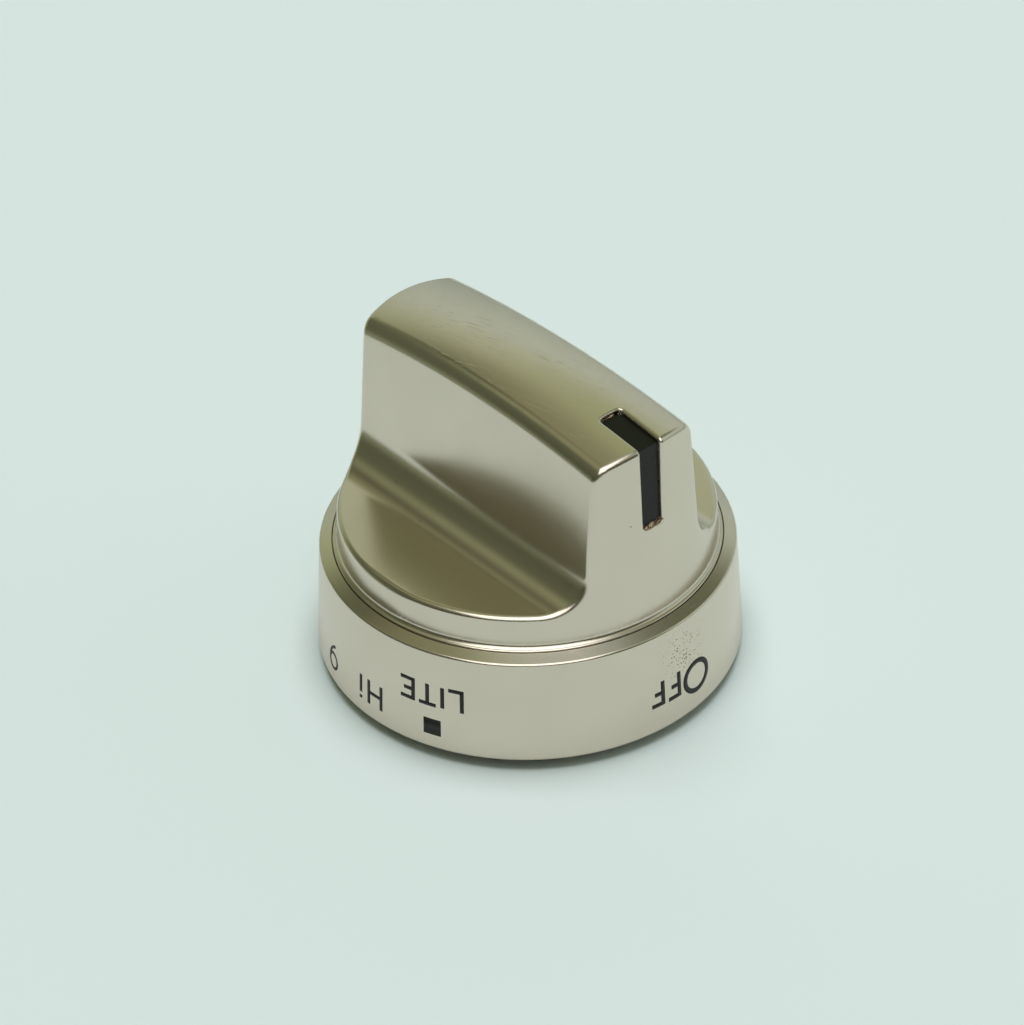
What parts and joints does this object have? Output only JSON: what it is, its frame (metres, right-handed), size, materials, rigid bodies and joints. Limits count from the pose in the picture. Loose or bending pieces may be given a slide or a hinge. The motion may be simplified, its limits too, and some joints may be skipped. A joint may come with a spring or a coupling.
{
  "type": "gas range burner knob",
  "caption": "Range burner knob in satin nickel: a scooped grip with a crowned blade and a black pointer, on a marked dial skirt, with a D-shaped stem socket underneath.",
  "frame": {"origin": "on the stem axis, in the plane that the knob stands on (the end of the stem hub)", "axes": "+Z along the stem axis towards the top of the grip, -Y towards the pointer"},
  "size_m": [0.048, 0.048, 0.0381],
  "materials": {
    "grip_nickel": "satin nickel plate on die-cast zinc",
    "skirt_nickel": "satin nickel plate on die-cast zinc, printed dial marks",
    "pointer_black": "smooth black moulding",
    "hub_plastic": "fine textured heat-resistant moulding",
    "spring_steel": "rolled spring steel strip",
    "screw_steel": "zinc plated steel"
  },
  "bodies": {
    "root": {"grip": "grip_nickel", "dial_skirt": "skirt_nickel", "pointer_insert": "pointer_black", "stem_hub": "hub_plastic", "spring_clip": "spring_steel", "hub_screws": "screw_steel"}
  },
  "joints": []
}
